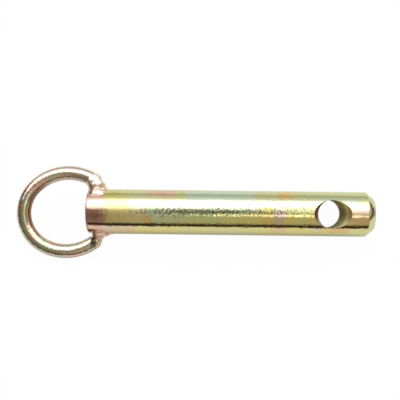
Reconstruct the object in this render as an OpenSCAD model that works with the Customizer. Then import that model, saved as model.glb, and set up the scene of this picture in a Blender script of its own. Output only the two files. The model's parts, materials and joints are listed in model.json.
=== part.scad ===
// Top link pin: a round bar with a cross hole near its nose and an open wire ring welded to its other end.
// The bar lies along X with its nose at +X. It rests on the plane z = -shank_d / 2, and so does one side of the ring.
// The origin is on the bar's axis, where its full diameter begins, so bores slide on from +X down to x = 0.

/* [Shank] */
// Diameter of the bar, which fills a bore of the same size
shank_d = 19; // [16:0.5:32]
// Length of the whole bar, from the ring end to the nose
shank_l = 120.8; // [90:0.1:180]
// Length at the ring end that tapers down for the welds
relief_l = 10.5; // [10:0.5:20]
// Depth of that taper at the ring end, on the radius
relief_depth = 0.2; // [0.2:0.05:0.6]
// Bevel on the edge of the ring end
back_bevel = 0.8; // [0.3:0.1:1.5]

/* [Nose] */
// Length of the nose taper along the bar
nose_l = 3.3; // [2:0.1:8]
// Angle of the nose taper to the bar's axis
nose_deg = 38; // [15:1:45]

/* [Linchpin hole] */
// Diameter of the cross hole
hole_d = 12; // [8:0.5:13]
// Distance from the nose to the centre of the hole
hole_from_nose = 18.3; // [16:0.1:30]
// Width of the 45 degree countersink at both mouths
hole_sink = 1.85; // [0.5:0.05:2]

/* [Ring] */
// Diameter of the round wire
wire_d = 6; // [4:0.5:8]
// Radius of the tight bend at the far end of the loop, on the wire's centreline
tight_r = 15.6; // [14:0.1:22]
// Radius of the two flatter sides of the loop, on the wire's centreline
flat_r = 20.5; // [16:0.1:30]
// Distance from the ring end of the bar out to the centre of the loop
ring_out = 9.0; // [7:0.1:14]
// How far the centre of the loop sits to the low side of the bar's axis
ring_drop = 0.5; // [0:0.1:2]
// Angle of the loop's long axis to the bar, in the plane of the loop
ring_skew = 9.7; // [0:0.1:15]
// Where the wire stops on the raised side, as an angle from the long axis
high_stop = 42; // [38:1:46]
// Where the wire stops on the low side, as an angle from the long axis
low_stop = 63; // [56:1:68]

/* [Welds] */
// How far a bead stands out around the wire
bead_over = 0.25; // [0.2:0.05:0.8]
// Radius of the raised side's run of weld along the bar's wall
high_run_r = 3.6; // [3:0.1:4.4]
// Radius of the low side's run of weld along the bar's wall
low_run_r = 3.1; // [2.8:0.1:4]
// How far the middle of a run lies under the bar's wall
run_sunk = 1.9; // [1.4:0.1:2.4]
// How far the raised side's run stays in from the ring end of the bar
high_inset = 0.05; // [0.05:0.05:1]
// How far the low side's run stays in from the ring end of the bar
low_inset = 0.6; // [0.05:0.05:1]
// Angle around the bar that the raised side's run reaches, to each side of the loop's plane
high_reach = 26; // [20:1:45]
// Angle around the bar that the low side's run reaches, to each side of the loop's plane
low_reach = 13; // [10:1:40]
// Radius of the drops that run out along the bar from the low side's bead
toe_r = 2.8; // [2.2:0.1:3.4]

/* [Hidden] */
$fn = 96;
shank_r = shank_d / 2;
wire_r = wire_d / 2;
relief_r = shank_r - relief_depth;
back_x = -relief_l;
nose_x = back_x + shank_l;
hole_x = nose_x - hole_from_nose;
nose_r = shank_r - nose_l * tan(nose_deg);
// the bends meet along lines of slope 4 in 3, where both have the same direction, so the wire has no kink
join = [3, 4] / 5;
tight_at = join.x * (flat_r - tight_r);
flat_at = join.y * (flat_r - tight_r);
// farther out than any part of the loop
far = 2 * flat_r + wire_d;
// the loop's lowest reach below the bar's axis, measured in its own plane, sets how far it leans to the floor
low_side = ring_drop + flat_r - flat_at * cos(ring_skew);
ring_lean = asin((shank_r - wire_r) / low_side);
// the rounded ends of a run are a little fatter than the run itself
end_swell = 1.03;
// the middle of each end of the wire, measured from the ring end along the bar and from the bar's axis
high_end = loop_point(tight_at + tight_r * cos(high_stop), tight_r * sin(high_stop));
low_end = loop_point(flat_r * cos(low_stop), flat_at - flat_r * sin(low_stop));

// A point of the loop's own axes, turned and moved to the axes of the bar.
function loop_point(x, y) = [
    x * cos(ring_skew) - y * sin(ring_skew) - ring_out,
    x * sin(ring_skew) + y * cos(ring_skew) - ring_drop
];

// Lays what is drawn along Z down along X.
module along_x() {
    rotate([0, 90, 0]) children();
}

// The plane of the loop: X stays along the bar, Y runs up the raised side and Z is square to the loop.
module ring_plane() {
    rotate([ring_lean, 0, 0]) children();
}

// The outside of the bar, without its hole.
module bar_body() {
    along_x() rotate_extrude() polygon([
        [0, back_x],
        [relief_r - back_bevel, back_x],
        [relief_r, back_x + back_bevel],
        [shank_r, 0],
        [shank_r, nose_x - nose_l],
        [nose_r, nose_x],
        [0, nose_x]
    ]);
}

// The cross hole with a countersink at each mouth, along Z at the origin.
module hole_cut() {
    sink_z = shank_r - hole_sink;
    cylinder(r = hole_d / 2, h = 2 * shank_d, center = true);
    for (side = [0, 180]) {
        rotate([side, 0, 0]) translate([0, 0, sink_z])
            cylinder(r1 = hole_d / 2, r2 = hole_d / 2 + shank_r, h = shank_r);
    }
}

module pin_shank() {
    color([0.80, 0.77, 0.50]) difference() {
        bar_body();
        ring_plane() translate([hole_x, 0, 0]) hole_cut();
    }
}

// One bend of the wire in the loop's own axes: a ring about (cx, cy), kept between two directions from there.
module bend(cx, cy, r, from_dir, to_dir) {
    translate([cx, cy, 0]) intersection() {
        rotate_extrude() translate([r, 0]) circle(r = wire_r);
        linear_extrude(height = 2 * wire_d, center = true)
            polygon([[0, 0], far * from_dir, far * to_dir]);
    }
}

// The loop's own axes: its long axis along X and its centre at the origin.
module loop_axes() {
    ring_plane() translate([back_x - ring_out, -ring_drop, 0]) rotate([0, 0, ring_skew]) children();
}

// The open loop of wire: a short tight bend at the raised end, then side, tight bend and side.
module ring_wire() {
    loop_axes() {
        bend(tight_at, 0, tight_r, [cos(high_stop), sin(high_stop)], [join.x, join.y]);
        bend(0, -flat_at, flat_r, [join.x, join.y], [-join.x, join.y]);
        bend(-tight_at, 0, tight_r, [-join.x, join.y], [-join.x, -join.y]);
        bend(0, flat_at, flat_r, [-join.x, -join.y], [cos(low_stop), -sin(low_stop)]);
    }
}

module ring_handle() {
    color([0.74, 0.68, 0.52]) ring_wire();
}

// A drop of weld metal in the loop's plane: x from the ring end, y from the bar's axis.
module drop(x, y, r) {
    translate([back_x + x, y, 0]) sphere(r = r);
}

// A run of weld laid round the bar's wall, this far in from the ring end, with a rounded end on each side.
module run(inset, reach, r) {
    mid_r = relief_r - run_sunk;
    x = inset + r * end_swell;
    translate([back_x + x, 0, 0]) rotate([0, 90, 0]) rotate([0, 0, 90]) intersection() {
        rotate_extrude() translate([mid_r, 0]) circle(r = r);
        linear_extrude(height = 3 * r, center = true)
            polygon([[0, 0], far * [cos(reach), -sin(reach)], far * [cos(reach), sin(reach)]]);
    }
    for (side = [-1, 1]) {
        rotate([side * reach, 0, 0]) drop(x, mid_r, r * end_swell);
    }
}

// Weld metal as laid down, before the bar and the wire take their room in it.
module bead_drops_high() {
    drop(high_end.x - wire_r * 0.02, high_end.y - wire_r * 0.05, wire_r + bead_over);
    drop(high_end.x + wire_r * 0.1, (high_end.y + relief_r) / 2, wire_r + bead_over * 1.6);
    run(high_inset, high_reach, high_run_r);
}

module bead_drops_low() {
    rotate([180, 0, 0]) {
        drop(low_end.x - wire_r * 0.03, wire_r * 0.08 - low_end.y, wire_r + bead_over);
        drop(low_end.x + wire_r * 0.4, (relief_r - low_end.y) / 2 + wire_r * 0.05, wire_r - bead_over * 0.2);
        drop(low_end.x + wire_r * 1.4, relief_r - toe_r * 0.3, toe_r * 0.9);
        run(low_inset, low_reach, low_run_r);
    }
}

module weld_bead_high() {
    color([0.80, 0.74, 0.60]) difference() {
        ring_plane() bead_drops_high();
        bar_body();
        ring_wire();
    }
}

module weld_bead_low() {
    color([0.76, 0.66, 0.55]) difference() {
        ring_plane() bead_drops_low();
        bar_body();
        ring_wire();
    }
}

pin_shank();
ring_handle();
weld_bead_high();
weld_bead_low();
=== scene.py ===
import json
import math

import bpy
from mathutils import Matrix, Vector


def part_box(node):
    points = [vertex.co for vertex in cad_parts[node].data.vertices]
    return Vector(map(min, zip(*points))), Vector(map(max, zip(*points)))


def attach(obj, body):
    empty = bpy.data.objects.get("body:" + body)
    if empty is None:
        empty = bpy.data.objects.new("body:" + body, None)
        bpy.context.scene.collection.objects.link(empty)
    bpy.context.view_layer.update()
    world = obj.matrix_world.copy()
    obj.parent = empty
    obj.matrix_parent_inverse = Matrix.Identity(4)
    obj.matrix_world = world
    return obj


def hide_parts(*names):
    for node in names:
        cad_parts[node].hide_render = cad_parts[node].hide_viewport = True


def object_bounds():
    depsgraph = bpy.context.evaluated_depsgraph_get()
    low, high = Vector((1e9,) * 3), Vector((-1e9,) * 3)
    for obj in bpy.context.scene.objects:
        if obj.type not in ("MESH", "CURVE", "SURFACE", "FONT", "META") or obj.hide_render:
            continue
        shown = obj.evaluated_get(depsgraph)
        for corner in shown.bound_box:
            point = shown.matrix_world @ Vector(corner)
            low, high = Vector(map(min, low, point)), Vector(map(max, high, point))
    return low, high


bl_info = {
    "name": "Top Link Pin Finish",
    "version": (1, 0, 0),
    "blender": (4, 5, 0),
    "location": "3D View > Sidebar > Link Pin",
    "description": "Plates a top link pin in yellow zinc, lays its weld beads and lights it in a studio",
    "category": "Object",
}

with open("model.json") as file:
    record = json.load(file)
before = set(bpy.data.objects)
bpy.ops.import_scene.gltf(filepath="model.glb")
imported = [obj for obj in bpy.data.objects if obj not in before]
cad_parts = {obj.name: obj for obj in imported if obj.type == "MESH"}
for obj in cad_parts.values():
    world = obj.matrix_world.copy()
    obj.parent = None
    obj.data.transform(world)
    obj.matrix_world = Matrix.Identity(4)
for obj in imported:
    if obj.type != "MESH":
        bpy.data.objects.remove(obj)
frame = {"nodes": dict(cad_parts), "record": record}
cad_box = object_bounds()

# Places on the pin. Its bar lies along X, and its ring in a leaning plane through the bar's axis.
MM = 0.001
MOUNTS = {mount["name"]: mount for mount in frame["record"]["mounts"]}
SHANK_R = MOUNTS["shank"]["dims"]["r_mm"] * MM
HOLE_R = MOUNTS["linchpin_hole"]["dims"]["r_mm"] * MM
HOLE_X = MOUNTS["linchpin_hole"]["pos_m"][0]
TAPER_X = MOUNTS["shank"]["dims"]["length_mm"] * MM
BACK_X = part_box("pin_shank")[0].x
NOSE_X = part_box("pin_shank")[1].x
BACK_MM = BACK_X / MM
FLOOR_Z = cad_box[0][2]
ALONG = Vector((1, 0, 0))
OUT = Vector(MOUNTS["linchpin_hole"]["axis"])
UP = OUT.cross(ALONG)
RING_AXES = Matrix((ALONG, UP, OUT)).transposed()

# Small distances. Points closer than SAME are one point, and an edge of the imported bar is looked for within
# EDGE_REACH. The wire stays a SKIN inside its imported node. The bar and wire that a bead is melted with lie
# UNDER the walls that it is then cut to.
SAME = 0.001 * MM
EDGE_REACH = 0.01 * MM
SKIN = 0.005 * MM
UNDER = 0.04 * MM

# Sides of the round sections, and steps in a full turn of the loop. The stub and the leg are the stretches
# of bar and wire that a bead is melted with.
BAR_SIDES = 360
DRILL_SIDES = 240
STUB_SIDES = 180
WIRE_SIDES = 48
WIRE_STEPS = 160
LEG_SIDES = 32
LEG_STEPS = 120


def ring_plane(along, up, out=0.0):
    """A place, in millimetres in from the ring end, up from the bar's axis and out of the ring's plane."""
    return ALONG * (BACK_X + along * MM) + UP * up * MM + OUT * out * MM


def rim(x):
    """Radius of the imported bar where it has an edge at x."""
    points = [vertex.co for vertex in frame["nodes"]["pin_shank"].data.vertices]
    return max(point.yz.length for point in points if abs(point.x - x) < EDGE_REACH)


def length(default, text, low, high):
    """A length property, in metres, with a default and limits in millimetres."""
    return bpy.props.FloatProperty(
        name=text, description=f"{text} of the pin", unit="LENGTH", subtype="DISTANCE",
        min=low * MM, max=high * MM, default=default * MM,
    )


def angle(default, text, low, high):
    """An angle property whose default and limits are given in degrees."""
    return bpy.props.FloatProperty(
        name=text, description=f"{text} of the pin", unit="ROTATION", subtype="ANGLE",
        min=math.radians(low), max=math.radians(high), default=math.radians(default),
    )


def tint(default, text):
    """A colour property with a default in linear light."""
    return bpy.props.FloatVectorProperty(
        name=text, description=f"Colour of {text.lower()}", subtype="COLOR",
        size=3, min=0, max=1, default=default,
    )


def dullness(default, text):
    """A roughness property."""
    return bpy.props.FloatProperty(
        name=f"Roughness of {text}", description=f"How dull the plate on {text} is", subtype="FACTOR",
        min=0.02, max=0.6, default=default,
    )


class PlatingSettings(bpy.types.PropertyGroup):
    """Colours of the yellow zinc plate, and how dull it is."""

    straw: tint((0.68, 0.59, 0.24), "Straw plate")
    green: tint((0.60, 0.62, 0.33), "Green plate")
    moss: tint((0.50, 0.56, 0.30), "Moss plate")
    silver: tint((0.52, 0.61, 0.49), "Silver plate")
    pink: tint((0.70, 0.42, 0.33), "Pink plate")
    lilac: tint((0.62, 0.45, 0.50), "Lilac plate")
    orange: tint((0.72, 0.47, 0.16), "Orange plate")
    rust: tint((0.68, 0.34, 0.18), "Rust plate")
    drawn: tint((0.54, 0.475, 0.37), "Plate on drawn wire")
    weld: tint((0.82, 0.67, 0.57), "Plate on weld metal")
    rose: tint((0.88, 0.55, 0.47), "Rose plate on weld metal")
    amber: tint((0.66, 0.49, 0.22), "Amber plate")
    mustard: tint((0.58, 0.52, 0.15), "Mustard plate")
    # Brown that paints shade in the welds' creases and dark reflections on the bar's ring end and in the far
    # bend
    painted_brown: tint((0.30, 0.13, 0.09), "Brown plate")
    # Russet that paints a reflection on the bar's ring end
    reflection_russet: tint((0.64, 0.34, 0.30), "Russet plate")
    # Near-black that paints shade at the wire's low end and dark specks in the bar's reflection
    painted_black: tint((0.050, 0.042, 0.018), "Burnt scale")
    bore_rust: tint((0.15, 0.045, 0.018), "Red-brown in the hole")
    bore_olive: tint((0.44, 0.38, 0.11), "Olive in the hole")
    # Paler colour that paints light on the hole's lower wall
    bore_painted_light: tint((0.60, 0.60, 0.42), "Pale plate in the hole")
    gloss: dullness(0.1, "the smooth bar")
    rough_weld: dullness(0.36, "the weld metal")


class BarSettings(bpy.types.PropertyGroup):
    """The turned bar and its cross hole."""

    bevel: length(0.8, "Bevel on the ring end", 0.3, 1.5)
    sink: length(1.85, "Countersink of the cross hole", 0.5, 2)
    edge: length(0.12, "Rounding of the bar's edges", 0.02, 0.3)


class RingSettings(bpy.types.PropertyGroup):
    """The bent wire. Its loop has two tight bends and two flat ones."""

    wire: length(3, "Wire radius", 2, 4)
    tight: length(15.6, "Tight bend radius", 14, 22)
    flat: length(20.5, "Flat bend radius", 16, 30)
    out: length(9, "Loop centre beyond the ring end", 7, 14)
    drop: length(0.5, "Loop centre below the bar's axis", 0, 2)
    skew: angle(9.7, "Turn of the loop", 0, 15)
    high_stop: angle(42, "High end of the wire", 38, 46)
    low_stop: angle(63, "Low end of the wire", 56, 68)


class WeldSettings(bpy.types.PropertyGroup):
    """How the weld metal lies."""

    grain: length(0.2, "Mesh grain of a bead", 0.1, 0.5)
    melt: bpy.props.IntProperty(
        name="Melt", description="How far the drops of a bead run together", min=0, max=60, default=10
    )


class StudioSettings(bpy.types.PropertyGroup):
    """The floor, the lights and the camera."""

    floor: tint((0.90, 0.90, 0.90), "Floor")
    lens: bpy.props.FloatProperty(
        name="Lens", description="Focal length of the camera", subtype="DISTANCE_CAMERA",
        min=20, max=200, default=59.1,
    )
    distance: bpy.props.FloatProperty(
        name="Distance", description="From the camera to the plane of the ring",
        unit="LENGTH", subtype="DISTANCE", min=0.1, max=2, default=0.28,
    )
    roll: bpy.props.FloatProperty(
        name="Roll", description="Turn of the view about its middle", unit="ROTATION", subtype="ANGLE",
        min=-0.2, max=0.2, default=math.radians(0.69),
    )


class Signal:
    """An output of a node. Arithmetic on numbers adds Math nodes."""

    def __init__(self, finish, socket):
        self.finish = finish
        self.socket = socket

    def _math(self, operation, first, second=0.0):
        return self.finish.add("ShaderNodeMath", {"operation": operation}, {0: first, 1: second})

    def __add__(self, other):
        return self._math("ADD", self, other)

    def __radd__(self, other):
        return self._math("ADD", other, self)

    def __sub__(self, other):
        return self._math("SUBTRACT", self, other)

    def __rsub__(self, other):
        return self._math("SUBTRACT", other, self)

    def __mul__(self, other):
        return self._math("MULTIPLY", self, other)

    def __rmul__(self, other):
        return self._math("MULTIPLY", other, self)

    def __pow__(self, other):
        return self._math("POWER", self, other)

    def __abs__(self):
        return self._math("ABSOLUTE", self)

    def most(self, other):
        """The greater of two numbers."""
        return self._math("MAXIMUM", self, other)

    def angle_from(self, other):
        """The angle whose tangent is this number over the other, all the way round."""
        return self._math("ARCTAN2", self, other)


# Sockets of a node that mixes colours. Its inputs share their names with those of its other kinds.
MIX_SHARE, MIX_FIRST, MIX_SECOND, MIX_RESULT = 0, 6, 7, 2


class Finish:
    """The nodes of one material, or of the world, with millimetres for its patterns."""

    def __init__(self, owner):
        owner.use_nodes = True
        self.owner = owner
        self.tree = owner.node_tree
        self.tree.nodes.clear()

    def add(self, kind, settings=None, values=None, output=0):
        """Adds one node: its settings first, then a value or a link for each socket."""
        node = self.tree.nodes.new(kind)
        for name, value in (settings or {}).items():
            setattr(node, name, value)
        for name, value in (values or {}).items():
            if isinstance(value, Signal):
                self.tree.links.new(value.socket, node.inputs[name])
            else:
                node.inputs[name].default_value = value
        return Signal(self, node.outputs[output]) if len(node.outputs) else None

    def place(self, centre=(0, 0, 0), stretch=(1, 1, 1)):
        """Millimetres on the piece from a centre, with each axis multiplied by its stretch."""
        where = self.add("ShaderNodeTexCoord", output="Object")
        scale = [s / MM for s in stretch]
        shift = [-c * s for c, s in zip(centre, stretch)]
        return self.add("ShaderNodeMapping", values={"Vector": where, "Location": shift, "Scale": scale})

    def along(self, where, direction):
        """How far a place lies along a direction, in millimetres."""
        sockets = {0: where, 1: direction}
        return self.add("ShaderNodeVectorMath", {"operation": "DOT_PRODUCT"}, sockets, "Value")

    def noise(self, where, size, detail=2.0, seed=0.0):
        """Noise from 0 to 1 whose spots measure about size millimetres."""
        return self.add(
            "ShaderNodeTexNoise", {"noise_dimensions": "4D"},
            {"Vector": where, "W": seed, "Scale": 1 / size, "Detail": detail},
        )

    def ragged(self, value, where, size, reach, detail=2.0, seed=0.0):
        """A number moved by noise, up to its reach either way. Marks placed by it have ragged edges."""
        return value + self.noise(where, size, detail, seed) * (2 * reach) - reach

    def step(self, value, low, high):
        """Goes smoothly from 0 at low to 1 at high. It falls where low is the greater."""
        return self.add(
            "ShaderNodeMapRange", {"interpolation_type": "SMOOTHSTEP"},
            {"Value": value, "From Min": low, "From Max": high, "To Min": 0.0, "To Max": 1.0},
        )

    def span(self, value, start, full, fade, end):
        """Rises from start to full, and falls again from fade to end."""
        return self.step(value, start, full) * self.step(value, end, fade)

    def near(self, value, centre, core, reach):
        """1 up to the core's distance from a centre, and 0 past the reach."""
        return self.step(abs(value - centre), reach, core)

    def patch(self, x, up, centre, squash, core, reach):
        """A round patch about a centre, squashed in height. Its core and reach are squares of radii."""
        return self.step((x - centre[0]) ** 2 + ((up - centre[1]) * squash) ** 2, reach, core)

    def mix(self, share, first, second):
        """Colour going from first to second."""
        first, second = (c if isinstance(c, Signal) else (*c, 1.0) for c in (first, second))
        sockets = {MIX_SHARE: share, MIX_FIRST: first, MIX_SECOND: second}
        return self.add("ShaderNodeMix", {"data_type": "RGBA"}, sockets, MIX_RESULT)

    def tinted(self, colour, tone, mask, share):
        """A colour that goes over to a tone, by a share where the mask is 1."""
        return self.mix(mask * share, colour, tone)

    def ramp(self, value, stops):
        """Colour that runs through stops, each a value with its colour."""
        low, high = stops[0][0], stops[-1][0]
        colour = self.add("ShaderNodeValToRGB", values={0: (value - low) * (1 / (high - low))})
        bands = colour.socket.node.color_ramp.elements
        while len(bands) < len(stops):
            bands.new(0.5)
        for band, (at, shade) in zip(bands, stops):
            band.position = (at - low) / (high - low)
            band.color = (*shade, 1.0)
        return colour

    def rays(self):
        """1 for rays to the camera, off metal and through a clear thing, in that order."""
        kinds = ("Camera", "Glossy", "Transmission")
        return [self.add("ShaderNodeLightPath", output=f"Is {kind} Ray") for kind in kinds]

    def bump(self, height, distance):
        """Normal of a surface that rises by height times a distance in millimetres."""
        values = {"Height": height, "Distance": distance * MM, "Strength": 1.0}
        return self.add("ShaderNodeBump", values=values)

    def surface(self, shader):
        """Ends the material with its shader."""
        self.add("ShaderNodeOutputMaterial", values={"Surface": shader})
        return self.owner

    def metal(self, colour, roughness, normal):
        """Ends the material as bare metal."""
        return self.surface(self.add(
            "ShaderNodeBsdfPrincipled",
            values={"Base Color": colour, "Metallic": 1.0, "Roughness": roughness, "Normal": normal},
        ))

    def glow(self, colour, strength=1.0):
        """Ends the material as one that shines in a colour."""
        return self.surface(self.add("ShaderNodeEmission", values={"Color": colour, "Strength": strength}))


def new_finish(name):
    """The nodes of a new material."""
    return Finish(bpy.data.materials.new(name))


# Clouds in the plate of the bar and the wire: the size of one in millimetres, the share of the surface that
# they cover, the seed of their noise, their strength and their colour. The bar's are drawn out along it.
BAR_CLOUDS = [(7.0, 0.5, 1.0, 1.0, "green"), (11.0, 0.3, 4.0, 0.7, "silver"), (5.0, 0.1, 8.0, 0.5, "pink")]
BAR_CLOUD_STRETCH = (0.45, 1, 1)
WIRE_CLOUDS = [(6.0, 0.6, 6.0, 1.0, "pink"), (7.0, 0.5, 8.0, 0.8, "moss")]
# The noise at which a cloud begins if clouds cover nothing, how much sooner it begins if they cover all,
# and the width of its soft edge in the noise
CLOUD_BARE = 0.62
CLOUD_DROP = 0.25
CLOUD_EDGE = 0.1


def clouded(finish, where, colour, layers, plating):
    """Lays soft clouds of other colours over a colour, layer by layer."""
    for size, cover, seed, share, tone in layers:
        begin = CLOUD_BARE - CLOUD_DROP * cover
        cloud = finish.step(finish.noise(where, size, detail=3.0, seed=seed), begin, begin + CLOUD_EDGE)
        colour = finish.tinted(colour, getattr(plating, tone), cloud, share)
    return colour


# Stains in the plate of the bar, two of them painted highlight colour: where each starts and ends along X,
# then around the wall from the hole's mouth towards the raised side, all in millimetres, and its colour and
# strength
STAINS = [
    (15.0, 27.0, 6.6, 12.5, "pink", 0.75), (13.0, 17.5, -5.2, -1.8, "rust", 0.65),
    (-4.0, 5.5, 6.2, 11.0, "mustard", 0.80), (31.0, 60.0, 4.8, 13.0, "silver", 0.75),
    (69.6, 75.0, 6.0, 13.0, "orange", 0.75), (66.6, 72.4, -4.2, 2.2, "lilac", 0.80),
    (61.6, 66.8, -5.0, -2.4, "orange", 0.65), (67.0, 72.5, -9.0, -5.4, "pink", 0.60),
    (-3.0, 10.0, -10.5, -5.4, "pink", 0.55), (90.0, 99.5, -9.0, -5.2, "rust", 0.55),
    (99.8, 107.5, -4.6, 1.6, "pink", 0.65), (84.0, 88.0, -7.5, -5.0, "lilac", 0.5),
    (-9.0, 15.0, -5.0, 1.2, "amber", 0.75), (20.0, 58.0, -5.6, 0.4, "moss", 0.35),
    (46.0, 62.0, -4.6, -1.2, "straw", 0.6), (75.0, 100.0, -4.6, 0.0, "straw", 0.5),
    # The silver bands from 22 to 62 and from 8 to 102 run along the highlight's edges and paint them whiter
    (28.0, 62.0, -12.0, -6.0, "green", 0.5), (22.0, 62.0, 0.2, 3.8, "silver", 0.7),
    (8.0, 102.0, 3.4, 6.0, "silver", 0.5), (108.5, 112.0, -14.0, -3.0, "silver", 0.6),
    (99.5, 108.5, 0.4, 3.6, "lilac", 0.6),
]
# Half the width of a stain's soft edge
STAIN_EDGE = 1.3

# Other marks on the bar, in millimetres along it, up from its axis, or around its wall like the stains. Two
# numbers say where a mark begins and where it is full. Three are its centre, its core and its reach. Four
# say where it begins, is full, fades and ends. Marks on the other pieces are given in the same manner.
# The upper side of the bar turns mossier: partly the plate's tone, partly the painted colour of its
# reflections
MOSS_AND_REFLECTION_UP = (3.5, 6.5)
# The zone burnt by the weld: how far in from the ring end it is full, and its soft edge. A painted reflection
# in
# it, russet: its top, which falls along the bar, its foot, and the brown core in it
BURN_IN = 7.2
BURN_EDGE = 1.6
REFLECTION_TOP = (3.3, 1.3)
REFLECTION_TOP_FALL = 0.54
REFLECTION_FOOT = (-5.2, -3.8)
REFLECTION_CORE = (-1.9, 0.3, 1.4)
# The band of fine pits, where painted dark specks break up the highlight's lower edge: its ends, its middle
# around the wall, its climb along the bar, its core and reach
PIT_SPAN = (12, 24, 78, 96)
SPECK_MIDDLE = -0.4
SPECK_CLIMB = 0.025
SPECK_WIDTH = (0.8, 2.4)


def stain(finish, colour, along, around, mark, plating):
    """Tints a stretch of the bar's wall, with ragged edges."""
    start, end, low, high, tone, strength = mark
    soft = STAIN_EDGE
    length_mask = finish.span(along, start - soft, start + soft, end - soft, end + soft)
    cover = length_mask * finish.span(around, low - soft, low + soft, high - soft, high + soft)
    return finish.tinted(colour, getattr(plating, tone), cover, strength)


def burn_and_reflect(finish, colour, x, ragged_x, ragged_around, plating):
    """Burns the ring end of the bar pink, and paints a reflection on it: russet under a slanted edge, with a
    brown core in that.
    """
    full = BACK_MM + BURN_IN
    hot = 1 - finish.step(ragged_x, full, full + BURN_EDGE)
    # painted reflection: russet under a slanted edge, with a brown core
    slanted = ragged_around + (x - BACK_MM) * REFLECTION_TOP_FALL
    painted_reflection = finish.step(slanted, *REFLECTION_TOP) * finish.step(ragged_around, *REFLECTION_FOOT)
    burnt_and_reflected = finish.mix(painted_reflection, plating.pink, plating.reflection_russet)
    core = painted_reflection * finish.near(ragged_around, *REFLECTION_CORE)
    burnt_and_reflected = finish.tinted(burnt_and_reflected, plating.painted_brown, core, share=0.55)
    return finish.tinted(colour, burnt_and_reflected, hot, share=0.85)


def shank_plate(plating):
    """Plate on the bar: clouds, stains and mottle, burnt at the ring end and finely pitted in a band, with
    painted reflection colour on its upper side, ring end and highlight edges, and painted dark specks.
    """
    finish = new_finish("zinc_on_bar")
    here = finish.place()
    x = finish.along(here, ALONG)
    up = finish.along(here, UP)
    around = up.angle_from(finish.along(here, OUT)) * (SHANK_R / MM)
    ragged_x = finish.ragged(x, here, size=3.0, reach=5.0, detail=5.0, seed=2.0)
    ragged_around = finish.ragged(around, here, size=3.0, reach=3.5, detail=5.0, seed=4.0)
    colour = clouded(finish, finish.place(stretch=BAR_CLOUD_STRETCH), plating.straw, BAR_CLOUDS, plating)
    # mossier upper side, partly painted reflection colour
    colour = finish.tinted(colour, plating.moss, finish.step(up, *MOSS_AND_REFLECTION_UP), share=0.6)
    for mark in STAINS:
        colour = stain(finish, colour, ragged_x, ragged_around, mark, plating)
    mottle = finish.step(finish.noise(here, size=0.9, detail=3.0, seed=6.0), low=0.40, high=0.62)
    colour = finish.tinted(colour, plating.mustard, mottle, share=0.2)
    colour = burn_and_reflect(finish, colour, x, ragged_x, ragged_around, plating)
    pitted = finish.span(ragged_x, *PIT_SPAN)
    band = finish.near(ragged_around, x * SPECK_CLIMB + SPECK_MIDDLE, *SPECK_WIDTH)
    # painted dark specks along the lower edge of the highlight
    pits_and_painted_specks = finish.step(finish.noise(here, size=0.6, detail=1.0, seed=11.0), low=0.50, high=0.60)
    colour = finish.tinted(colour, plating.painted_black, band * pitted * pits_and_painted_specks, share=0.55)
    fine = finish.noise(here, size=0.9)
    broad = finish.noise(here, size=3.0, detail=1.0)
    height = fine * (0.5 + 0.35 * pitted) + 0.3 * broad
    return finish.metal(colour, plating.gloss, finish.bump(height, distance=0.10))


# Marks in the cross hole, in millimetres from its axis towards the nose or up
OLIVE_FROM = (-4, -1)
RUST_FROM = (5.0, 7.0)
# Painted light: the hole's lower wall is paler
PAINTED_LIGHT_UNDER = (-0.8, -3.4)


def bore_plate(plating):
    """Dull thin plate in the cross hole: olive, red-brown towards ring and nose, and paler low down with
    painted light.
    """
    finish = new_finish("zinc_in_hole")
    here = finish.place(centre=(HOLE_X / MM, 0, 0))
    x = finish.ragged(finish.along(here, ALONG), here, size=1.5, reach=1.0)
    up = finish.ragged(finish.along(here, UP), here, size=1.5, reach=1.0, seed=3.0)
    colour = finish.mix(finish.step(x, *OLIVE_FROM), plating.bore_rust, plating.bore_olive)
    colour = finish.tinted(colour, plating.bore_rust, finish.step(x, *RUST_FROM), share=0.7)
    # painted light on the lower wall of the hole
    colour = finish.tinted(colour, plating.bore_painted_light, finish.step(up, *PAINTED_LIGHT_UNDER), share=0.35)
    return finish.surface(finish.add(
        "ShaderNodeBsdfPrincipled",
        values={"Base Color": colour, "Metallic": 0.0, "Roughness": 0.6, "Specular IOR Level": 0.1},
    ))


# Marks on the wire, in millimetres along the bar from the middle of the loop, up from the bar's axis, or
# out from the middle with the loop's longer way squashed. Inside the far bend, brown paints a dark
# reflection, with orange within it.
LOOP_SQUASH = 0.93
FAR_BEND = (-4, -10)
FAR_BEND_UP = (0, 9, 13)
DARK_REFLECTION_WITHIN = (15.4, 14.8)
ORANGE_WITHIN = (13.6, 13.1)
# Painted shade where the wire runs into the low bead
WIRE_END_SHADE_FROM = (9.8, 11.0)
WIRE_END_SHADE_UP = (-16.5, -13.0, -10, -8)
# How much duller the wire is than the bar
WIRE_DULLER = 0.02


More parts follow.
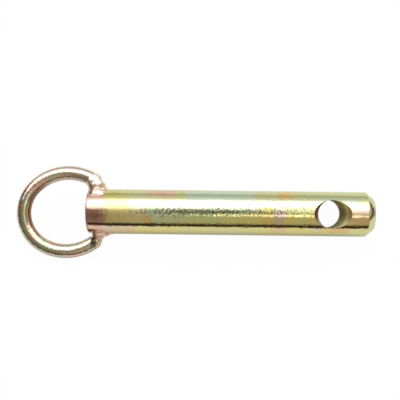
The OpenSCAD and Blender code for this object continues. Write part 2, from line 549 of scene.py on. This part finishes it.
def wire_plate(plating, ring):
    """Plate on the drawn wire: greyer and pinker than the bar's, with brown painting a dark reflection inside
    the far bend, orange within that, and painted shade at its low end.
    """
    finish = new_finish("zinc_on_wire")
    here = finish.place(centre=(BACK_MM - ring.out / MM, 0, 0))
    x = finish.along(here, ALONG)
    up = finish.along(here, UP)
    colour = clouded(finish, here, plating.drawn, WIRE_CLOUDS, plating)
    from_middle = ((x * LOOP_SQUASH) ** 2 + (up + ring.drop / MM) ** 2) ** 0.5
    from_middle = finish.ragged(from_middle, here, size=2.0, reach=0.5, detail=3.0, seed=2.0)
    far_bend = finish.step(x, *FAR_BEND) * finish.near(up, *FAR_BEND_UP)
    # painted dark reflection inside the far bend
    painted_brown = finish.step(from_middle, *DARK_REFLECTION_WITHIN) * far_bend
    colour = finish.tinted(colour, plating.painted_brown, painted_brown, share=0.85)
    orange = finish.step(from_middle, *ORANGE_WITHIN) * far_bend
    colour = finish.tinted(colour, plating.orange, orange, share=0.8)
    # painted shade where the wire runs into the low bead
    scale = finish.step(x, *WIRE_END_SHADE_FROM) * finish.span(up, *WIRE_END_SHADE_UP)
    colour = finish.mix(scale, colour, plating.painted_black)
    fine = finish.noise(here, size=0.9, detail=4.0)
    broad = finish.noise(here, size=2.4, detail=1.0)
    height = fine * 1.1 + 0.5 * broad
    return finish.metal(colour, plating.gloss + WIRE_DULLER, finish.bump(height, distance=0.10))


# Marks on the weld metal, in millimetres in from the ring end and up from the bar's axis. The marks on the
# raised bead slant, and are measured at its middle.
RAISED_MIDDLE = 9
RAISED_UP = (2, 4)
FLANK_FROM = (6.1, 7.0)
FLANK_SLANT = 0.31
# Painted shade in creases: along the wire's edge on the raised bead, and between the wire's end and the low
# bead
RAISED_CREASE_SHADE = (1.5, 0.4, 0.8)
RAISED_CREASE_SHADE_SLANT = 0.15
RAISED_CREASE_SHADE_UP = (6, 7, 11, 12)
PIT_CLUSTER = (3.0, 11.0)
ROSE_UNDER = (2, -2)
MOSSY_LOW = (-15, -14, -12, -10.8)
LOW_CREASE_SHADE = (3.1, 0.3, 0.8)
LOW_CREASE_SHADE_UP = (-7, -8.5)
# Painted shade in the groove at the wire's low end
GROOVE_SHADE = (2.2, -13.2)
GROOVE_SHADE_UP = (-16.5, -13.0)


def weld_plate(plating):
    """Plate on weld metal: pale on the raised bead and rose on the low one, with pits, and painted shade in
    its creases and at the wire's low end.
    """
    finish = new_finish("zinc_on_weld")
    here = finish.place(centre=(BACK_MM, 0, 0))
    x = finish.ragged(finish.along(here, ALONG), here, size=1.2, reach=0.7, seed=1.0)
    up = finish.along(here, UP)
    over = up - RAISED_MIDDLE
    flank = finish.step(x + over * FLANK_SLANT, *FLANK_FROM) * finish.step(up, *RAISED_UP)
    colour = finish.tinted(plating.weld, plating.amber, flank, share=0.6)
    colour = finish.tinted(colour, plating.rose, finish.step(up, *ROSE_UNDER), share=0.85)
    colour = finish.tinted(colour, plating.moss, finish.span(up, *MOSSY_LOW), share=0.4)
    # painted shade in the beads' creases
    slanted = x + over * RAISED_CREASE_SHADE_SLANT
    raised_crease_shade = finish.near(slanted, *RAISED_CREASE_SHADE) * finish.span(up, *RAISED_CREASE_SHADE_UP)
    low_crease_shade = finish.near(x, *LOW_CREASE_SHADE) * finish.step(up, *LOW_CREASE_SHADE_UP)
    colour = finish.tinted(colour, plating.painted_brown, raised_crease_shade + low_crease_shade, share=0.85)
    # painted shade in the groove at the wire's low end
    scale = finish.patch(x, up, GROOVE_SHADE, squash=0.8, core=1.6, reach=3.4)
    scale = scale * finish.step(up, *GROOVE_SHADE_UP)
    colour = finish.tinted(colour, plating.painted_black, scale, share=0.95)
    cluster = finish.patch(x, up, PIT_CLUSTER, squash=1.6, core=1.6, reach=3.2)
    pits_and_painted_specks = finish.step(finish.noise(here, size=0.8, seed=5.0) + cluster * 0.12, low=0.67, high=0.72)
    colour = finish.tinted(colour, plating.bore_olive, pits_and_painted_specks, share=0.8)
    height = finish.noise(here, size=1.6) - 0.3 * pits_and_painted_specks
    return finish.metal(colour, plating.rough_weld, finish.bump(height, distance=0.08))


def clear_selection():
    """Deselects everything, because an operator acts on all that is selected."""
    bpy.ops.object.select_all(action="DESELECT")


def pick(piece):
    """Selects one piece alone."""
    clear_selection()
    piece.select_set(True)
    bpy.context.view_layer.objects.active = piece


def apply_modifier(piece, kind, **settings):
    """Adds a modifier to a piece with its settings and applies it."""
    modifier = piece.modifiers.new(kind.lower(), kind)
    for name, value in settings.items():
        setattr(modifier, name, value)
    bpy.context.view_layer.objects.active = piece
    bpy.ops.object.modifier_apply(modifier=modifier.name)


def settle(piece):
    """Puts a piece's place into its mesh and turns its faces outwards."""
    pick(piece)
    bpy.ops.object.transform_apply(location=True, rotation=True, scale=True)
    bpy.ops.object.mode_set(mode="EDIT")
    bpy.ops.mesh.select_all(action="SELECT")
    bpy.ops.mesh.remove_doubles(threshold=SAME)
    bpy.ops.mesh.normals_make_consistent(inside=False)
    bpy.ops.object.mode_set(mode="OBJECT")


def turned(name, stations, axes, sides):
    """A turned piece: a circle drawn out through stations of place and radius along the Z of its axes."""
    clear_selection()
    first, *others = stations
    bpy.ops.mesh.primitive_circle_add(vertices=sides, radius=first[1], fill_type="NGON")
    piece = bpy.context.object
    piece.name = name
    bpy.ops.object.mode_set(mode="EDIT")
    bpy.ops.mesh.select_all(action="SELECT")
    bpy.ops.transform.translate(value=(0, 0, first[0]))
    at, radius = first
    for place, wide in others:
        bpy.ops.mesh.extrude_region_move(TRANSFORM_OT_translate={"value": (0, 0, place - at)})
        grow = wide / radius
        bpy.ops.transform.resize(value=(grow, grow, 1), center_override=(0, 0, place))
        at, radius = place, wide
    bpy.ops.object.mode_set(mode="OBJECT")
    piece.matrix_world = axes
    settle(piece)
    return piece


def remove(*pieces):
    """Deletes helper pieces that have done their work."""
    for piece in pieces:
        bpy.data.objects.remove(piece)


def dress(piece, node, materials, blunt):
    """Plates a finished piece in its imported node's place. Edges up to blunt degrees are shaded smooth."""
    if not piece.data.polygons:
        raise RuntimeError(f"{piece.name} has no faces")
    pick(piece)
    bpy.ops.object.shade_smooth_by_angle(angle=math.radians(blunt))
    piece.data.materials.clear()
    for material in materials:
        piece.data.materials.append(material)
    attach(piece, "root")
    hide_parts(node)


def bar_stations(bevel):
    """Places along the bar where its outline turns, and the radius at each."""
    back_r = rim(BACK_X + bevel)
    return [
        (BACK_X, back_r - bevel), (BACK_X + bevel, back_r), (0, SHANK_R), (TAPER_X, SHANK_R),
        (NOSE_X, rim(NOSE_X)),
    ]


def drill_stations(sink):
    """Places along the drill and the radius at each. A cone at each end cuts a 45 degree countersink."""
    mouth = SHANK_R - sink
    far = SHANK_R
    return [(-mouth - far, HOLE_R + far), (-mouth, HOLE_R), (mouth, HOLE_R), (mouth + far, HOLE_R + far)]


def bar_axes():
    """Axes for a turned piece whose Z runs along the bar."""
    return Matrix((UP, OUT, ALONG)).transposed().to_4x4()


def bent_wire(name, ring, radius, sides, steps, part=slice(None)):
    """The ring's wire, or part of its bends: its section is spun about the centre of each bend in turn."""
    # neighbouring bends meet along lines of slope 4 in 3, where both have the same direction
    join = math.atan2(4, 3)
    gap = ring.flat - ring.tight
    tight_at, flat_at = 0.6 * gap, 0.8 * gap
    half_turn = math.pi
    bends = [
        ((tight_at, 0), ring.tight, ring.high_stop, join),
        ((0, -flat_at), ring.flat, join, half_turn - join),
        ((-tight_at, 0), ring.tight, half_turn - join, half_turn + join),
        ((0, flat_at), ring.flat, half_turn + join, 2 * half_turn - ring.low_stop),
    ][part]
    clear_selection()
    centre, bend_r, begin, end = bends[0]
    start = (centre[0] + bend_r * math.cos(begin), centre[1] + bend_r * math.sin(begin), 0)
    across = (half_turn / 2, 0, begin)
    bpy.ops.mesh.primitive_circle_add(
        vertices=sides, radius=radius, fill_type="NGON", location=start, rotation=across
    )
    piece = bpy.context.object
    piece.name = name
    bpy.ops.object.transform_apply(location=True, rotation=True, scale=True)
    bpy.ops.object.mode_set(mode="EDIT")
    bpy.ops.mesh.select_all(action="SELECT")
    for centre, bend_r, begin, end in bends:
        count = max(2, round(steps * (end - begin) / math.tau))
        bpy.ops.mesh.spin(steps=count, angle=begin - end, center=(*centre, 0), axis=(0, 0, 1))
    bpy.ops.object.mode_set(mode="OBJECT")
    loop = Matrix.Translation(ALONG * (BACK_X - ring.out) - UP * ring.drop) @ RING_AXES.to_4x4()
    piece.matrix_world = loop @ Matrix.Rotation(ring.skew, 4, "Z")
    settle(piece)
    return piece


# Parts of the bent wire that lead into each bead, counted along its bends
LEGS = {"high": slice(0, 2), "low": slice(3, 4)}
# Faces belong to the hole if they lie within this many of its radii and look this squarely at its axis
HOLE_REACH = 1.4
HOLE_FACING = 0.5


def plate_hole(piece):
    """Gives the faces of the hole and its countersinks the bar's second material."""
    for face in piece.data.polygons:
        offset = face.center - ALONG * HOLE_X
        inwards = OUT * offset.dot(OUT) - offset
        far = inwards.length
        if far < HOLE_REACH * HOLE_R and face.normal.dot(inwards) > HOLE_FACING * far:
            face.material_index = 1


class LINKPIN_OT_bar(bpy.types.Operator):
    """Turn the bar, drill and countersink its cross hole, and plate it"""

    bl_idname = "linkpin.bar"
    bl_label = "Turn the Bar"

    def execute(self, context):
        bar = context.scene.linkpin_bar
        piece = turned("turned_bar", bar_stations(bar.bevel), bar_axes(), BAR_SIDES)
        corner = math.radians(15)
        apply_modifier(piece, "BEVEL", width=bar.edge, segments=3, limit_method="ANGLE", angle_limit=corner)
        axes = Matrix.Translation(ALONG * HOLE_X) @ RING_AXES.to_4x4()
        drill = turned("drill", drill_stations(bar.sink), axes, DRILL_SIDES)
        apply_modifier(piece, "BOOLEAN", operation="DIFFERENCE", object=drill, solver="EXACT")
        remove(drill)
        settle(piece)
        plating = context.scene.linkpin_plating
        dress(piece, "pin_shank", [shank_plate(plating), bore_plate(plating)], blunt=25)
        plate_hole(piece)
        return {"FINISHED"}


class LINKPIN_OT_ring(bpy.types.Operator):
    """Bend the wire into the open ring and plate it"""

    bl_idname = "linkpin.ring"
    bl_label = "Bend the Ring"

    def execute(self, context):
        ring = context.scene.linkpin_ring
        piece = bent_wire("wire_ring", ring, ring.wire - SKIN, WIRE_SIDES, WIRE_STEPS)
        plating = context.scene.linkpin_plating
        dress(piece, "ring_handle", [wire_plate(plating, ring)], blunt=40)
        return {"FINISHED"}


# Drops of weld metal, in millimetres: the middle of each in from the ring end, up from the bar's axis and
# out of the ring's plane, and its half sizes in those three directions
DROPS = {
    "high": [
        (2.2, 12.9, 0.2, 3.5, 3.5, 3.4), (3.3, 11.3, 1.6, 3.3, 2.9, 2.2), (4.7, 10.4, 0.6, 2.7, 2.6, 2.5),
        (1.9, 9.9, 0, 2.2, 2.4, 2.6), (4.4, 7.0, 3.9, 3.6, 2.9, 2.9), (3.8, 7.9, -3.4, 3.0, 2.4, 2.8),
        (6.3, 8.6, 0.4, 2.1, 1.9, 2.6), (8.0, 8.3, 0.4, 1.6, 1.3, 2.0),
    ],
    "low": [
        (3.3, -13.2, 0, 2.3, 2.7, 2.9), (4.1, -12.0, 0.5, 1.9, 2.4, 2.2), (4.4, -10.2, 0.8, 2.7, 2.2, 2.6),
        (4.6, -8.3, 2.4, 3.2, 2.0, 2.6), (4.2, -8.3, -2.4, 2.8, 2.2, 2.5), (6.8, -9.1, 0.6, 3.0, 1.7, 2.2),
        (9.0, -8.7, 0.4, 3.4, 1.1, 2.0),
    ],
}
# The stretch of bar that a bead is melted with, in millimetres in from the ring end
STUB_FROM, STUB_TO = 0.3, 14


class LINKPIN_OT_welds(bpy.types.Operator):
    """Lay the two weld beads between the bar and the ends of the wire, and plate them"""

    bl_idname = "linkpin.welds"
    bl_label = "Lay the Welds"

    def execute(self, context):
        scene = context.scene
        material = weld_plate(scene.linkpin_plating)
        for side, drops in DROPS.items():
            piece = self.bead(scene, f"bead_{side}", drops, LEGS[side])
            dress(piece, f"weld_bead_{side}", [material], blunt=60)
        return {"FINISHED"}

    def bead(self, scene, name, drops, leg):
        """Drops, bar and wire melted into one skin, less the bar and the wire themselves."""
        ring, bar, weld = scene.linkpin_ring, scene.linkpin_bar, scene.linkpin_weld
        stub_r = rim(BACK_X + bar.bevel) - UNDER
        stub = [(BACK_X + STUB_FROM * MM, stub_r), (BACK_X + STUB_TO * MM, stub_r)]
        parts = [
            turned("stub", stub, bar_axes(), STUB_SIDES),
            bent_wire("leg", ring, ring.wire - UNDER, LEG_SIDES, LEG_STEPS, leg),
            *(self.drop(*place_and_halves) for place_and_halves in drops),
        ]
        clear_selection()
        for part in parts:
            part.select_set(True)
        bpy.context.view_layer.objects.active = parts[0]
        bpy.ops.object.join()
        piece = parts[0]
        piece.name = name
        bpy.ops.object.transform_apply(location=True, rotation=True, scale=True)
        apply_modifier(piece, "REMESH", mode="VOXEL", voxel_size=weld.grain)
        apply_modifier(piece, "SMOOTH", factor=0.5, iterations=weld.melt)
        rooms = [
            turned("bar_room", bar_stations(bar.bevel), bar_axes(), BAR_SIDES),
            bent_wire("wire_room", ring, ring.wire, WIRE_SIDES, WIRE_STEPS, leg),
        ]
        for room in rooms:
            apply_modifier(piece, "BOOLEAN", operation="DIFFERENCE", object=room, solver="EXACT")
        remove(*rooms)
        settle(piece)
        return piece

    def drop(self, along, up, out, *halves):
        """One drop of weld metal, with its half sizes along the axes of the ring's plane."""
        clear_selection()
        bpy.ops.mesh.primitive_ico_sphere_add(subdivisions=4, radius=MM)
        drop = bpy.context.object
        drop.matrix_world = Matrix.Translation(ring_plane(along, up, out)) @ RING_AXES.to_4x4()
        drop.scale = halves
        return drop


# Cloth of the tent: degrees from overhead towards the back, and its colour, which shines at TENT_LEVEL
TENT_LEVEL = 5.0
TENT = [
    (-91, (0.03, 0.025, 0.02)), (-84, (0.03, 0.025, 0.02)), (-79, (0.10, 0.095, 0.075)),
    (-72, (0.115, 0.11, 0.08)), (-42, (0.115, 0.11, 0.085)), (-30, (0.14, 0.135, 0.12)),
    (-20, (0.19, 0.19, 0.175)), (-12, (0.27, 0.27, 0.26)), (-5, (0.36, 0.36, 0.37)),
    (2, (0.43, 0.43, 0.46)), (8, (0.52, 0.52, 0.57)), (14, (0.66, 0.66, 0.72)), (36, (0.66, 0.66, 0.72)),
    (45, (0.31, 0.31, 0.35)), (56, (0.19, 0.19, 0.205)), (66, (0.165, 0.165, 0.17)),
    (78, (0.135, 0.135, 0.135)), (91, (0.14, 0.14, 0.14)),
]
# What the metal mirrors in front of the cloth: the lens, a lit strip, dim stretches towards ring and nose,
# and dark ends. A SIDE counts in radii of the tent towards the nose, and a LEAN in degrees like the cloth.
LENS, LENS_SIDE, LENS_LEAN = (0.038, 0.038, 0.034), (0, 0.09, 0.125), (-19, 10, 18)
STRIP, STRIP_SIDE, STRIP_LEAN = (0.42, 0.415, 0.39), (-0.03, 0.05, 0.36, 0.44), (-33, 2.5, 6)
DIM = (0.06, 0.053, 0.045)
RING_DIM_SIDE, RING_DIM_LEAN = (-0.155, -0.23), (-1, -15)
NOSE_DIM_SIDE, NOSE_DIM_LEAN = (0.38, 0.52), (12, 0)
RING_END, RING_END_SIDE = (0.035, 0.03, 0.024), (-0.72, -0.85)
NOSE_END, NOSE_END_SIDE = (0.13, 0.12, 0.09), (0.72, 0.85)

# The studio, in metres, with its lamp's power in watts
FLOOR_SIZE = 12
TENT_R = 3
TENT_X = 0.035
LAMP_X = 0.04
LAMP_TILT = math.radians(-35)
LAMP_SIZE = (2.4, 0.95)
LAMP_POWER = 12
# Low cards on the floor in front of the pin and past its ends: place, width and turn
CARDS = {
    "front": ((0.035, -0.08), 1.2, 0),
    "ring": ((-0.2, 0), 0.24, math.pi / 2),
    "nose": ((0.27, 0), 0.24, math.pi / 2),
}
CARD_HEIGHT = 0.023
CARD_COLOUR = (0.05, 0.04, 0.025, 1.0)
# How far plain white hides the floor's shading, for the camera and through clear things, and in the metal
FLOOR_WHITE = 0.965
FLOOR_IN_METAL = 0.15
# Light of the world on the floor, where neither the camera nor the metal sees it
WORLD_GREY = (0.62, 0.62, 0.62)
# What the camera looks at, in millimetres along the bar and up in the ring's plane
VIEW_MIDDLE = (36.96, 5.30)


def only_in_metal(thing):
    """Hides a thing of the studio from all but the reflections in the metal."""
    thing.visible_camera = thing.visible_diffuse = thing.visible_shadow = thing.visible_transmission = False


class LINKPIN_OT_studio(bpy.types.Operator):
    """Set the floor, the tent, the lamp and the camera"""

    bl_idname = "linkpin.studio"
    bl_label = "Set the Studio"

    def execute(self, context):
        scene = context.scene
        studio = scene.linkpin_studio
        self.lay_floor(studio)
        self.raise_tent()
        self.stand_cards()
        self.hang_lamp()
        self.fill_world(scene)
        self.aim_camera(scene, studio)
        scene.view_settings.view_transform = "Standard"
        return {"FINISHED"}

    def lay_floor(self, studio):
        """A floor that shows as nearly plain white and keeps the pin's shadow."""
        clear_selection()
        bpy.ops.mesh.primitive_plane_add(size=FLOOR_SIZE, location=(0, 0, FLOOR_Z))
        floor = bpy.context.object
        floor.name = "studio_floor"
        finish = new_finish("pale_floor")
        shadow = finish.add("ShaderNodeBsdfDiffuse", values={"Color": (*studio.floor, 1.0)})
        bright = finish.add("ShaderNodeEmission", values={"Color": (1, 1, 1, 1)})
        camera, glossy, clear = finish.rays()
        white = camera * FLOOR_WHITE + glossy * FLOOR_IN_METAL + clear * FLOOR_WHITE
        floor.data.materials.append(
            finish.surface(finish.add("ShaderNodeMixShader", values={0: white, 1: shadow, 2: bright}))
        )

    def raise_tent(self):
        """A round tent that only the metal sees, brighter and darker by its angle from overhead."""
        clear_selection()
        place = (TENT_X, 0, 0)
        bpy.ops.mesh.primitive_uv_sphere_add(segments=96, ring_count=48, radius=TENT_R, location=place)
        tent = bpy.context.object
        tent.name = "studio_tent"
        finish = new_finish("tent_cloth")
        where = finish.place(stretch=(MM / TENT_R, MM / TENT_R, MM / TENT_R))
        side, back, over = (finish.along(where, axis) for axis in ((1, 0, 0), (0, 1, 0), (0, 0, 1)))
        lean = back.angle_from(over) * (180 / math.pi)
        cloth = finish.ramp(lean, TENT)
        for mask, colour in (
            (finish.near(side, *LENS_SIDE) * finish.near(lean, *LENS_LEAN), LENS),
            (finish.span(side, *STRIP_SIDE) * finish.near(lean, *STRIP_LEAN), STRIP),
            (finish.step(side, *RING_DIM_SIDE) * finish.step(lean, *RING_DIM_LEAN), DIM),
            (finish.step(side, *NOSE_DIM_SIDE) * finish.step(lean, *NOSE_DIM_LEAN), DIM),
            (finish.step(side, *RING_END_SIDE), RING_END),
            (finish.step(side, *NOSE_END_SIDE), NOSE_END),
        ):
            cloth = finish.mix(mask, cloth, colour)
        tent.data.materials.append(finish.glow(cloth, TENT_LEVEL))
        only_in_metal(tent)

    def stand_cards(self):
        """Low dark cards in front of the pin and past its ends, which only the metal sees."""
        upright = math.pi / 2
        middle_z = FLOOR_Z + CARD_HEIGHT / 2
        for name, (place, width, turn) in CARDS.items():
            clear_selection()
            turns = (upright, 0, turn)
            bpy.ops.mesh.primitive_plane_add(size=1, location=(*place, middle_z), rotation=turns)
            card = bpy.context.object
            card.name = f"studio_card_{name}"
            card.scale = (width, CARD_HEIGHT, 1)
            card.data.materials.append(new_finish(f"card_{name}").glow(CARD_COLOUR))
            only_in_metal(card)

    def hang_lamp(self):
        """A soft box behind and above the pin, which lays a faint shadow."""
        clear_selection()
        bpy.ops.object.light_add(type="AREA")
        lamp = bpy.context.object
        lamp.name = "soft_box"
        lamp.data.shape = "RECTANGLE"
        lamp.data.size, lamp.data.size_y = LAMP_SIZE
        lamp.data.energy = LAMP_POWER
        lamp.rotation_euler.x = LAMP_TILT
        lamp.location = (LAMP_X, -math.sin(LAMP_TILT), math.cos(LAMP_TILT))
        lamp.visible_glossy = False

    def fill_world(self, scene):
        """A world that shows as plain white and lights the floor softly."""
        scene.world = bpy.data.worlds.new("studio_world")
        finish = Finish(scene.world)
        camera, glossy, clear = finish.rays()
        colour = finish.mix(camera.most(glossy).most(clear), WORLD_GREY, (1, 1, 1))
        light = finish.add("ShaderNodeBackground", values={"Color": colour})
        finish.add("ShaderNodeOutputWorld", values={"Surface": light})

    def aim_camera(self, scene, studio):
        """Looks square at the ring's plane, from the side that it leans away from."""
        data = bpy.data.cameras.new("studio_camera")
        camera = bpy.data.objects.new("studio_camera", data)
        scene.collection.objects.link(camera)
        data.lens = studio.lens
        data.sensor_width = 36
        data.clip_start = 0.01
        along, up = VIEW_MIDDLE
        middle = ALONG * along * MM + UP * up * MM
        turn, lean = math.cos(studio.roll), math.sin(studio.roll)
        right = ALONG * turn + UP * lean
        top = UP * turn - ALONG * lean
        axes = Matrix((right, top, OUT)).transposed().to_4x4()
        camera.matrix_world = Matrix.Translation(middle + OUT * studio.distance) @ axes
        scene.camera = camera


class LINKPIN_PT_panel(bpy.types.Panel):
    """Sizes, colours and steps of the pin's finish."""

    bl_idname = "LINKPIN_PT_panel"
    bl_label = "Link Pin"
    bl_space_type = "VIEW_3D"
    bl_region_type = "UI"
    bl_category = "Link Pin"

    def draw(self, context):
        for key in SETTINGS:
            settings = getattr(context.scene, key)
            box = self.layout.box()
            for name in settings.__annotations__:
                box.prop(settings, name)
        for step in STEPS:
            self.layout.operator(step.bl_idname)


SETTINGS = {
    "linkpin_plating": PlatingSettings,
    "linkpin_bar": BarSettings,
    "linkpin_ring": RingSettings,
    "linkpin_weld": WeldSettings,
    "linkpin_studio": StudioSettings,
}
STEPS = (LINKPIN_OT_bar, LINKPIN_OT_ring, LINKPIN_OT_welds, LINKPIN_OT_studio)
CLASSES = (*SETTINGS.values(), *STEPS, LINKPIN_PT_panel)


def register():
    """Makes the classes and their settings known."""
    for cls in CLASSES:
        bpy.utils.register_class(cls)
    for key, group in SETTINGS.items():
        setattr(bpy.types.Scene, key, bpy.props.PointerProperty(type=group))


def unregister():
    """Takes the settings and the classes away again."""
    for key in SETTINGS:
        delattr(bpy.types.Scene, key)
    for cls in reversed(CLASSES):
        bpy.utils.unregister_class(cls)


def main():
    """Makes the pieces and the studio in order."""
    register()
    bpy.ops.linkpin.bar()
    bpy.ops.linkpin.ring()
    bpy.ops.linkpin.welds()
    bpy.ops.linkpin.studio()


if __name__ == "__main__":
    main()
